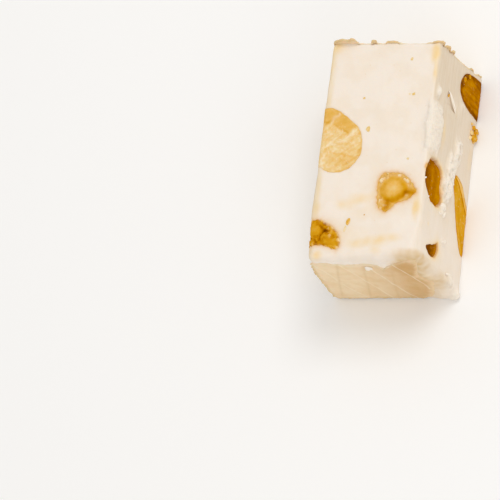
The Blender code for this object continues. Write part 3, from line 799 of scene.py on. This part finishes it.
def cracked_nut_look(flat, place, inset):
    """Two large soft chunks, cracks between them darkened with painted shade, a painted shadow in a pit,
    and crumbly flesh round them.
    """
    gap, level = chunks(place, 0.75, 2.2)
    cracks = [
        [(-9.75, -17.6), (-8.75, -18.5), (-7.6, -18.8)],
        [(-8.75, -18.5), (-9.6, -19.8), (-9.5, -20.6)],
        [(-11.8, -20.2), (-10.3, -21.0)],
        [(-13.6, -18.0), (-12.6, -19.6), (-13.4, -21.0)],
    ]
    shaky = flat + 0.2 * drift(place, 0.8, 4.0)
    crack = drawn(shaky, cracks, 0.26)
    pit = bell(apart(flat, [-8.5, -18.6], [0.75, 0.42]), 1.0)
    ball = np.clip(1 - (apart(shaky, [-10.75, -18.65]) / 1.3) ** 2, 0, 1)
    wedge_loop = [
        (-7.9, -19.3), (-8.7, -20.6), (-9.2, -21.6), (-7.4, -21.8), (-5.6, -21.7), (-6.7, -20.4),
    ]
    wedge_gap, _ = loop_gap(flat, smooth_loop(wedge_loop, 0.3))
    wedge = ease(-wedge_gap, -0.1, 0.6)
    loose = 1 - np.maximum(ease(ball, 0.0, 0.35), wedge)
    seam = 1 - ease(gap, 0.0, 0.3)
    rise = 0.24 * ball + 0.16 * wedge + loose * (0.12 * level - 0.04 * seam) + 0.05 * grain(place, 0.6)
    rise = np.maximum(rise - 0.3 * crack - 0.4 * pit - 0.03, -0.45) * ease(inset, 0.3, 0.9)
    edge = 1 - ease(inset, 0.3, 1.6)
    # Painted shade: darker in the cracks, and a painted shadow in the deep pit.
    tone = 0.58 + 0.16 * crack + 0.32 * pit - 0.04 * ball + loose * (0.02 - 0.1 * level + 0.02 * seam)
    tone += 0.07 * grain(place, 0.9, 5.0) - 0.2 * edge * (0.4 + level)
    light = 0.2 * loose * ease(level, 0.8, 0.95) * (1 - np.clip(crack + 2 * pit, 0, 1))
    frosted = 1 - ease(inset + 0.3 * grain(place, 0.6, 8.0), 0.35, 1.1)
    light += 0.45 * frosted * ease(flat[:, 0], -11.0, -8.0)
    return rise, {"tone": tone, "frost_and_glints": light}


def almond_look(direction, tone, rim_tone, rim_width, seam=None, specks=0.24):
    """Almond flesh with fine grain along it, darker at its rim, and a seam line if it has one."""
    turn = math.radians(direction)
    along = np.array([math.cos(turn), math.sin(turn)])
    across = np.array([-along[1], along[0]])

    def look(flat, place, inset):
        run = combed(flat, along * 0.22, across * 1.5)
        fibre = grain(run, 1.0) + 0.5 * grain(run, 0.4, 2.0)
        rim = 1 - ease(inset + 0.3 * rim_width * grain(place, 1.2, 2.0), rim_width * 0.25, rim_width)
        rise = 0.03 * fibre + 0.02 * grain(place, 0.7) - 0.04 * rim
        shade = tone + 0.11 * fibre + (rim_tone - tone) * rim + 0.07 * grain(place, 2.2, 7.0)
        if seam:
            gap, foot = line_gap(flat, seam)
            beyond = ease((flat - foot) @ [0.9, -0.43], 0.0, 0.35)
            groove = bell(gap, 0.2)
            rise -= 0.12 * groove
            shade += 0.24 * groove - 0.22 * beyond * (1 - rim)
        return rise, {"tone": shade, "frost_and_glints": specks * ease(grain(place, 0.5, 8.0), 0.35, 0.7)}

    return look


def hazel_look(centre):
    """Round nut flesh, paler at its heart, with a few cracks that run out from it."""

    def look(flat, place, inset):
        reach = apart(flat, centre)
        turn = np.arctan2(flat[:, 1] - centre[1], flat[:, 0] - centre[0])
        spoke = bell(np.sin(turn * 1.5 + 0.3 * np.sin(reach)), 0.07) * ease(reach, 0.4, 1.2)
        spoke *= 1 - ease(reach, 2.4, 3.4)
        rise = 0.03 * grain(place, 0.5) - 0.1 * spoke - 0.12 * (1 - ease(reach, 0.3, 1.0))
        tone = 0.16 + 0.14 * (1 - ease(inset, 0.2, 0.8)) + 0.12 * spoke + 0.07 * grain(place, 1.4)
        return rise, {"tone": tone, "frost_and_glints": 0.3 * ease(grain(place, 0.8, 3.0), 0.2, 0.6)}

    return look


def whole_nut(name, node, finish, centre, size, along, thin, taper, tone):
    """A whole kernel lying in a hollow, with wrinkled skin, darker at its top in painted shadow under
    the lip and paler below in painted light.
    """
    length, width, thick = size
    along = Vector(along).normalized()
    thin = Vector(thin)
    thin = (thin - along * thin.dot(along)).normalized()
    turn = np.array(Matrix((thin.cross(along), thin, along)).transposed())
    unit, faces = sphere(6)
    run = unit * [3.2, 3.2, 0.8]
    wrinkle = 1 + 0.03 * grain(unit, 0.7, 2.0) + 0.006 * grain(run, 0.35, 4.0) + 0.006 * grain(unit, 0.1)
    narrow = 1 - taper * unit[:, 2]
    body = unit * wrinkle[:, None] * [width / 2, thick / 2, length / 2]
    body[:, 1] = np.sign(unit[:, 1]) * np.abs(unit[:, 1]) ** 0.45 * wrinkle * thick / 2
    body[:, :2] *= narrow[:, None]
    places = body @ turn.T + centre
    places[:, 2] = np.minimum(places[:, 2], HEIGHT - 0.7)
    shade = tone + 0.05 * grain(run, 0.6, 6.0) + 0.04 * grain(unit, 0.25)
    # Painted shadow: darker towards the top, under the nougat's lip. Painted light: paler towards the
    # bottom.
    shade += 0.16 * ease(places[:, 2] - centre[2], 0.0, width * 0.4)
    shade -= 0.14 * ease(centre[2] - places[:, 2], width * 0.08, width * 0.4)
    # Painted highlights: small pale glints, mixed in through the same pale colour as the frost.
    glints = 0.1 * ease(grain(unit, 0.12, 5.0), 0.45, 0.7)
    stands_for(solid(name, places, faces, finish, {"tone": shade, "frost_and_glints": glints}), node)


def wafer_sheet(name, node, finish, end, loop, soft_lines, bright_lines, curl, tucked):
    """A thin crinkled sheet on one end, with a pressed lattice and a torn rim.

    curl says where it stands straight on from the rounded edges, and tucked where its rim dips
    under the nougat round it.
    """
    centre = np.array([-0.6, 10.5])
    flat, inset, faces = fanned(loop, centre, WAFER_PITCH, rim=(0.3, 0.12))
    around = len(loop)
    sharp = on_skin(flat, "far" if end > 0 else "near")
    held = np.clip(sharp, -HALF, HALF)
    over = sharp - held
    soft, outward = on_bar(held)
    square = warped(held)
    stiff = curl(flat)[:, None]
    place = soft + (square - soft) * stiff + over
    outward = outward * (1 - stiff) + np.array([0, end, 0]) * stiff
    outward /= np.linalg.norm(outward, axis=1)[:, None]
    sheet = np.column_stack([flat, np.full(len(flat), 4.0 + end)])
    shaky = flat + 0.08 * drift(sheet, 1.3, 6.0)
    bright = drawn(shaky, bright_lines, 0.15) * (0.75 + 0.35 * grain(sheet, 1.6, 2.0))
    furrow = drawn(shaky, soft_lines, 0.3)
    lattice = 0.09 * bright - 0.03 * furrow
    crinkle = 0.12 * grain(sheet, 3.2) + 0.03 * grain(sheet, 0.9) + 0.01 * grain(sheet, 0.4)
    rim = 1 - ease(inset + 0.35 * grain(sheet, 0.9, 7.0), 0.0, 1.3)
    sunk = tucked(flat) * (1 - ease(inset, 0.0, 0.8))
    frayed = 0.16 * rim * grain(sheet, 0.8, 3.0) * (1 - sunk)
    front = place + outward * (0.34 - 0.26 * sunk + crinkle * (1 - sunk) + lattice + frayed)[:, None]
    heel = 0.16 * sunk + 0.16 * stiff[:, 0] * (end > 0)
    back = place + outward * (0.12 - heel + crinkle * (1 - sunk) + frayed)[:, None]
    faces = turned_out(faces, front, outward)
    count = len(flat)
    first = count - around
    border = []
    for i in range(around):
        j = (i + 1) % around
        border.append((first + i, first + j, count + first + j, count + first + i))
    edge = front[first + 1] - front[first]
    out_of_rim = np.cross(edge, back[first] - front[first])
    if out_of_rim @ (front[first] - front[0]) > 0:
        border = [ring[::-1] for ring in border]
    behind = [tuple(count + i for i in face)[::-1] for face in faces]
    stain = ease(flat[:, 0] - 0.15 * flat[:, 1] + 0.8 * grain(sheet, 3.0, 5.0), -9.0, 11.0)
    stain += 0.3 * (1 - ease(apart(flat, [8.8, 18.5], [3.4, 5.0]), 0.3, 1.3))
    pale = tucked(flat) * (1 - ease(inset + 0.5 * grain(sheet, 1.2, 5.0), 0.1, 1.8))
    fading = ease(flat[:, 0], 5.0, 9.0) * (1 - ease(inset + 0.5 * grain(sheet, 1.4, 8.0), 0.1, 2.2))
    paint = {
        # The lattice lines carry painted light: a highlight on the raised lines and shade in the
        # furrows.
        "ridge_highlight": np.clip(bright, 0, 1),
        "furrow": furrow,
        "rim": rim * (1 - tucked(flat)),
        "tuck": pale * (1 - 0.9 * ease(flat[:, 0], 4.0, 8.0)),
        "stain": np.clip(stain, 0, 1) * (1 - 0.65 * fading) * (end < 0),
    }
    paint = {key: np.concatenate([values, values]) for key, values in paint.items()}
    places = np.vstack([front, back])
    stands_for(solid(name, places, faces + behind + border, finish, paint), node)


def near_curl(flat):
    """The near wafer stands off the rounded edges at its left and lower rims."""
    return 0.6 * np.maximum(ease(-flat[:, 0], 10.5, 12.0), ease(-flat[:, 1], -2.0, -0.5))


def near_tuck(flat):
    """The near wafer dips under the nougat at its upper and right rims."""
    left = ease(flat[:, 0], -12.2, -10.6)
    return np.maximum(ease(flat[:, 1], 16.5, 19.0) * left, ease(flat[:, 0], 6.0, 8.5))


def far_curl(flat):
    """The far wafer stands straight up in its flaps."""
    total = np.zeros(len(flat))
    for centre, reach in FAR_FLAPS:
        away = apart(flat, centre) / reach
        total = np.maximum(total, 1 - ease(away, 0.6, 1.0))
    return total


def crumb_shape(reach, turn, seed):
    """A small knobbly crumb: its places and faces."""
    unit, faces = sphere(4)
    knobs = 1 + 0.25 * grain(unit, 0.8, seed) + 0.12 * grain(unit, 0.35, seed)
    spin = np.array(Matrix.Rotation(math.radians(turn), 3, "Z"))
    return (unit * knobs[:, None] * reach) @ spin.T, faces


def crumbs(name, finish, bits, white=0.0):
    """Small bits set in a face. Each is a chart, its place there, half sizes, turn, rise and tone."""
    places = []
    faces = []
    tones = []
    for number, (chart, at, reach, turn, rise, tone) in enumerate(bits):
        spot, outward = on_bar(on_skin(np.array([at], float), chart))
        lay = np.array(Vector(outward[0]).to_track_quat("Z", "Y").to_matrix())
        shape, sides = crumb_shape(reach, turn, number * 3.1)
        count = sum(len(part) for part in places)
        places.append(shape @ lay.T + spot + outward * rise)
        tones.append(np.full(len(shape), tone))
        faces += [[count + i for i in face] for face in sides]
    places = np.vstack(places)
    places[:, 2] = np.maximum(places[:, 2], 0.04 + 0.02 * grain(places, 0.5, 1.0))
    tone = np.concatenate(tones) + 0.12 * grain(places, 0.6)
    frost_and_glints = 0.4 * ease(grain(places, 0.5, 3.0), 0.2, 0.6)
    paint = {"tone": tone, "frost_and_glints": frost_and_glints, "white": np.full(len(places), white)}
    piece = solid(name, places, faces, finish, paint)
    return piece


def shown(red, green, blue):
    """A colour as it shows on a screen, from 0 to 255, as light."""
    values = [value / 255 for value in (red, green, blue)]
    light = [v / 12.92 if v < 0.04045 else ((v + 0.055) / 1.055) ** 2.4 for v in values]
    return (*light, 1.0)


class Value:
    """A number that varies over a finish. Sums and products of values add Math nodes."""

    def __init__(self, finish, socket):
        self.finish = finish
        self.socket = socket

    def maths(self, operation, *values):
        return self.finish.node("ShaderNodeMath", {"operation": operation}, dict(enumerate(values)))

    def __add__(self, other):
        return self.maths("ADD", self, other)

    def __radd__(self, other):
        return self.maths("ADD", other, self)

    def __sub__(self, other):
        return self.maths("SUBTRACT", self, other)

    def __rsub__(self, other):
        return self.maths("SUBTRACT", other, self)

    def __mul__(self, other):
        return self.maths("MULTIPLY", self, other)

    def __rmul__(self, other):
        return self.maths("MULTIPLY", other, self)


class Finish:
    """One material, its shader, and the nodes that feed it."""

    def __init__(self, name, **constants):
        self.material = bpy.data.materials.new(name)
        self.material.use_nodes = True
        self.tree = self.material.node_tree
        self.shader = self.tree.nodes["Principled BSDF"]
        for key, value in constants.items():
            self.shader.inputs[key.replace("_", " ").title().replace("Ior", "IOR")].default_value = value
        metres = self.node("ShaderNodeTexCoord", {}, {}, "Object")
        self.place = self.vector("SCALE", metres, scale=1000.0)

    def node(self, kind, settings, inputs, output=0):
        """Any node: its settings come first, then the numbers or links of its sockets."""
        made = self.tree.nodes.new(kind)
        for key, value in settings.items():
            setattr(made, key, value)
        for key, value in inputs.items():
            if isinstance(value, Value):
                self.tree.links.new(value.socket, made.inputs[key])
            else:
                made.inputs[key].default_value = value
        return Value(self, made.outputs[output])

    def vector(self, operation, one, two=(0.0, 0.0, 0.0), scale=1.0):
        inputs = {0: one, "Scale": scale} if operation == "SCALE" else {0: one, 1: two}
        return self.node("ShaderNodeVectorMath", {"operation": operation}, inputs)

    def painted(self, key):
        """A value painted on the mesh's points."""
        return self.node("ShaderNodeAttribute", {"attribute_name": key}, {}, "Fac")

    def noise(self, span, detail=3.0, stretch=(1.0, 1.0, 1.0), rough=0.55):
        """Noise from 0 to 1 in lumps about span millimetres across."""
        place = self.vector("MULTIPLY", self.place, tuple(value / span for value in stretch))
        inputs = {"Vector": place, "Scale": 1.0, "Detail": detail, "Roughness": rough}
        return self.node("ShaderNodeTexNoise", {}, inputs)

    def cells(self, span):
        """How far each place is from the middle of its own cell, in cells about span across."""
        place = self.vector("MULTIPLY", self.place, (1 / span, 1 / span, 1 / span))
        return self.node("ShaderNodeTexVoronoi", {}, {"Vector": place, "Scale": 1.0}, "Distance")

    def eased(self, value, low, high):
        inputs = {"Value": value, "From Min": low, "From Max": high, "To Min": 0.0, "To Max": 1.0}
        return self.node("ShaderNodeMapRange", {"interpolation_type": "SMOOTHSTEP"}, inputs)

    def mixed(self, one, two, share):
        """Two colours, mixed by a share from 0 to 1."""
        return self.node("ShaderNodeMix", {"data_type": "RGBA"}, {0: share, 6: one, 7: two}, 2)

    def ramp(self, value, stops):
        """A colour picked from stops, which are pairs of a value and a colour."""
        made = self.node("ShaderNodeValToRGB", {}, {"Fac": value})
        points = made.socket.node.color_ramp.elements
        while len(points) < len(stops):
            points.new(0.5)
        for point, (position, colour) in zip(points, stops):
            point.position = position
            point.color = colour
        return made

    def feed(self, **values):
        """Links what varies over the surface to the shader."""
        for key, value in values.items():
            self.tree.links.new(value.socket, self.shader.inputs[key.replace("_", " ").title()])

    def bumped(self, height, distance, strength=1.0):
        """Fine relief whose height, from 0 to 1, stands for a distance in millimetres."""
        inputs = {"Strength": strength, "Distance": distance * MM, "Height": height}
        self.feed(normal=self.node("ShaderNodeBump", {}, inputs))


def nougat_finish():
    """Soft white nougat: waxy and translucent, with tiny air holes and warm honey stains."""
    finish = Finish(
        "nougat", specular_ior_level=0.3, subsurface_weight=0.15, subsurface_scale=0.5 * MM,
        subsurface_radius=(1.0, 0.82, 0.62),
    )
    cream = shown(244, 232, 218)
    warm = shown(240, 224, 203)
    white = shown(251, 240, 225)
    yellow = shown(243, 213, 158)
    side_shade_colour = shown(219, 200, 172)
    amber = shown(229, 175, 94)
    clouds = finish.noise(5.0, 2.0)
    specks = finish.noise(0.5, 3.0)
    side = finish.painted("side")
    colour = finish.mixed(cream, warm, finish.eased(clouds, 0.4, 0.65) * 0.5)
    streak = finish.noise(1.0, 3.0, stretch=(2.2, 0.12, 2.2))
    # Painted shade: the side faces are mixed towards a darker grey beige, along with the knife streaks.
    side_shade = finish.painted("side_shade")
    colour = finish.mixed(colour, side_shade_colour, side_shade * (0.8 + 0.3 * finish.eased(streak, 0.35, 0.75)))
    colour = finish.mixed(colour, yellow, finish.painted("stain") * (0.75 + 0.5 * specks))
    colour = finish.mixed(colour, shown(234, 210, 166), finish.painted("strip") * 0.85)
    colour = finish.mixed(colour, white, finish.painted("white") * 0.9)
    colour = finish.mixed(colour, shown(216, 182, 126), finish.painted("smear") * 0.95)
    colour = finish.mixed(colour, amber, finish.painted("halo") * (0.75 + 0.5 * specks))
    dots = 1 - finish.eased(finish.cells(1.9), 0.05, 0.09)
    colour = finish.mixed(colour, shown(232, 200, 150), dots * 0.35)
    colour = finish.mixed(colour, shown(196, 132, 40), finish.painted("hollow") * 0.9)
    between_holes = finish.eased(finish.cells(0.62), 0.08, 0.3)
    height = finish.noise(0.35, 3.0) * 0.5 + between_holes * 0.4 + streak * side * 0.5
    height += finish.painted("torn") * (finish.noise(0.5, 5.0, rough=0.7) * 6.0)
    finish.feed(base_color=colour, roughness=0.5 + 0.2 * specks + 0.12 * finish.painted("white"))
    finish.bumped(height, 0.05, 0.7)
    return finish.material


def nut_finish():
    """Nut flesh and skin, from pale cream through gold to dark brown, with fine oily grain."""
    finish = Finish(
        "nut_flesh", specular_ior_level=0.0, ior=1.2, subsurface_weight=0.12, subsurface_scale=0.6 * MM,
        subsurface_radius=(1.0, 0.5, 0.2),
    )
    fine = finish.noise(0.35, 4.0)
    broad = finish.noise(1.8, 3.0)
    tone = finish.painted("tone") + 0.1 * (fine - 0.5) + 0.16 * (broad - 0.5)
    colour = finish.ramp(tone, [
        (0.0, shown(246, 224, 182)),
        (0.16, shown(238, 204, 140)),
        (0.36, shown(232, 182, 88)),
        (0.55, shown(216, 157, 26)),
        (0.7, shown(198, 131, 0)),
        (0.84, shown(168, 102, 0)),
        (1.0, shown(118, 64, 0)),
    ])
    # Pale cream mixed in: sugary frost and pale flecks of nut flesh, and on the whole nuts painted
    # highlight glints.
    frost_and_glints = finish.painted("frost_and_glints") * (0.6 + 0.8 * fine)
    colour = finish.mixed(colour, shown(250, 234, 204), frost_and_glints)
    height = fine * 0.7 + finish.cells(0.28) * 0.4
    finish.feed(base_color=colour, roughness=0.36 + 0.3 * fine)
    finish.bumped(height, 0.05, 0.7)
    return finish.material


def wafer_finish():
    """Dry edible paper: beige, finely mottled, with painted highlight on its raised pressed lines,
    painted shade in its furrows, and thin at its rim.
    """
    finish = Finish("wafer", specular_ior_level=0.25, subsurface_weight=0.1, subsurface_scale=0.4 * MM)
    broad = finish.noise(3.0, 3.0)
    fine = finish.noise(0.4, 4.0)
    colour = finish.mixed(shown(242, 218, 182), shown(236, 208, 166), finish.eased(broad, 0.35, 0.7))
    colour = finish.mixed(colour, shown(204, 160, 100), finish.painted("stain") * (0.68 + 0.4 * broad))
    # Painted shade in the furrows, and next a painted highlight on the raised lines.
    colour = finish.mixed(colour, shown(212, 178, 130), finish.painted("furrow") * 0.3)
    colour = finish.mixed(colour, shown(250, 234, 208), finish.painted("ridge_highlight") * 0.75)
    colour = finish.mixed(colour, shown(216, 186, 130), finish.painted("rim") * (0.45 + 0.6 * fine))
    colour = finish.mixed(colour, shown(222, 190, 146), finish.eased(fine, 0.55, 0.75) * 0.2)
    colour = finish.mixed(colour, shown(240, 220, 190), finish.painted("tuck") * 0.8)
    finish.feed(base_color=colour, roughness=0.68 + 0.2 * fine)
    finish.bumped(fine * 0.6 + finish.noise(0.12, 2.0) * 0.4, 0.05, 0.6)
    return finish.material


def studio():
    """A large pale floor under soft even light, and the camera where the photograph was taken."""
    scene = bpy.context.scene
    scene.view_settings.view_transform = "Standard"
    world = bpy.data.worlds.new("soft_room")
    world.use_nodes = True
    backdrop = world.node_tree.nodes["Background"]
    backdrop.inputs["Color"].default_value = (1.0, 0.985, 0.965, 1.0)
    backdrop.inputs["Strength"].default_value = 0.76
    scene.world = world

    floor_mesh = bpy.data.meshes.new("floor")
    corners = [(-1.5, -1.5, 0), (1.5, -1.5, 0), (1.5, 1.5, 0), (-1.5, 1.5, 0)]
    floor_mesh.from_pydata(corners, [], [(0, 1, 2, 3)])
    floor = bpy.data.objects.new("floor", floor_mesh)
    paper = bpy.data.materials.new("floor_paper")
    paper.use_nodes = True
    shader = paper.node_tree.nodes["Principled BSDF"]
    shader.inputs["Base Color"].default_value = (0.96, 0.955, 0.945, 1.0)
    shader.inputs["Roughness"].default_value = 0.85
    floor_mesh.materials.append(paper)
    scene.collection.objects.link(floor)

    for name, place, width, power in (
        ("key", (0.22, 0.26, 0.60), 0.30, 1.15),
        ("fill", (0.30, -0.50, 0.30), 0.40, 0.4),
    ):
        lamp = bpy.data.lights.new(name, "AREA")
        lamp.shape = "DISK"
        lamp.size = width
        lamp.energy = power
        light = bpy.data.objects.new(name, lamp)
        light.location = place
        aim = Vector((0, 0, 0.012)) - Vector(place)
        light.rotation_euler = aim.to_track_quat("-Z", "Y").to_euler()
        scene.collection.objects.link(light)

    lens = bpy.data.cameras.new("camera")
    lens.lens = 216.0
    lens.sensor_width = 36.0
    lens.clip_start = 0.01
    lens.clip_end = 5.0
    camera = bpy.data.objects.new("camera", lens)
    right = Vector((0.92182, 0.12635, -0.36646))
    up = Vector((0.00684, 0.93994, 0.34126))
    back = Vector((0.38757, -0.31709, 0.86559))
    turn = Matrix((right, up, back)).transposed().to_4x4()
    camera.matrix_world = Matrix.Translation(Vector((0.220568, -0.223689, 0.572361))) @ turn
    scene.collection.objects.link(camera)
    scene.camera = camera


# The seam between the halves of the long almond, on the chart of the right face.
SEAM = [(-0.9, 8.6), (-1.4, 7.1), (-2.4, 5.45), (-3.7, 3.6), (-5.2, 2.1), (-7.2, 0.2), (-9.0, -1.8)]

CUT_NUTS = [
    CutNut("half_hazelnut", "nut_round", "nut_pale", "top", HALF_NUT, (-10.4, 2.2),
           half_nut_look, 0.25, 0.15),
    CutNut("cupped_hazelnut", "nut_cupped", "nut_gold", "top", CUPPED_NUT, (5.7, -9.7),
           cupped_nut_look, 0.8, 0.5, rag=0.2, cover=0.3),
    CutNut("cracked_nut", "nut_crumbled", "nut_gold", "top", CRACKED_NUT, (-10.2, -19.4),
           cracked_nut_look, 0.7, 0.5, rag=0.2, cover=0.45),
    CutNut("long_almond", "nut_long", "nut_gold", "right", LONG_ALMOND, (-7.4, 3.2),
           almond_look(28, 0.54, 0.62, 0.5, SEAM), 0.3, 0.2),
    CutNut("skinned_almond", "nut_skinned", "nut_brown", "right", SKINNED_ALMOND, (19.8, 3.0),
           almond_look(88, 0.78, 0.96, 1.6, specks=0.05), 0.3, 0.2, proud=0.14),
    CutNut("left_almond", "nut_left_long", "nut_gold", "left", LEFT_ALMOND, (14.2, 8.4),
           almond_look(-22, 0.42, 0.66, 0.6), 0.35, 0.2),
    CutNut("left_hazelnut", "nut_left_short", "nut_pale", "left", LEFT_ROUND_NUT, (-11.2, 7.4),
           hazel_look((-11.2, 7.4)), 0.35, 0.2),
    CutNut("under_almond", "nut_under_long", "nut_gold", "base", UNDER_ALMOND, (-1.6, 8.2),
           almond_look(28, 0.42, 0.66, 0.6), 0.35, 0.2, proud=-0.03),
    CutNut("under_hazelnut", "nut_under_short", "nut_pale", "base", UNDER_ROUND_NUT, (-1.4, -14.6),
           hazel_look((-1.4, -14.6)), 0.35, 0.2, proud=-0.03),
]


def main():
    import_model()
    nougat = nougat_finish()
    nut = nut_finish()
    wafer = wafer_finish()

    cuts = [
        (cut, smooth_loop(cut.outline, NUT_PITCH, cut.rag, number * 2.7))
        for number, cut in enumerate(CUT_NUTS)
    ]
    hollows = [
        (smooth_loop(NUT_HOLLOW, 0.2, 0.22, 30.0), NUT_HOLLOW_DEPTH),
        (smooth_loop(CHIP_HOLLOW, 0.2, 0.12, 33.0), CHIP_HOLLOW_DEPTH),
    ]
    near_loop = smooth_loop(NEAR_WAFER, WAFER_PITCH, 0.32, 41.0)
    far_loop = smooth_loop(FAR_WAFER, WAFER_PITCH, 0.22, 47.0)

    nougat_block(nougat, cuts, hollows, near_loop)
    for cut, loop in cuts:
        cut_nut(cut, loop, nut)
    whole_nut("sunken_nut", "nut_sunken", nut, (11.1, -6.35, 18.6), (11.4, 10.0, 2.4),
              (0, 1, 0), (0.985, 0, 0.17), 0.05, 0.8)
    whole_nut("sunken_chip", "chip_sunken", nut, (11.6, -19.75, 16.9), (8.8, 6.2, 2.6),
              (0, -0.309, 0.951), (1, 0, 0), 0.1, 0.93)

    wafer_sheet("near_wafer", "wafer_near", wafer, -1, near_loop, SOFT_LINES, BRIGHT_LINES,
                near_curl, near_tuck)
    mirrored = [[[(-x, z) for x, z in line] for line in lines] for lines in (SOFT_LINES, BRIGHT_LINES)]
    wafer_sheet("far_wafer", "wafer_far", wafer, 1, far_loop, *mirrored,
                far_curl, lambda flat: 1 - far_curl(flat))

    edge_bits = crumbs("edge_bits", nut, EDGE_BITS)
    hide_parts("nut_edge")
    crumbs("nut_chips", nut, NUT_CHIPS)
    crumbs("white_crumbs", nougat, WHITE_CRUMBS, white=0.7)
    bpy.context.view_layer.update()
    studio()


main()
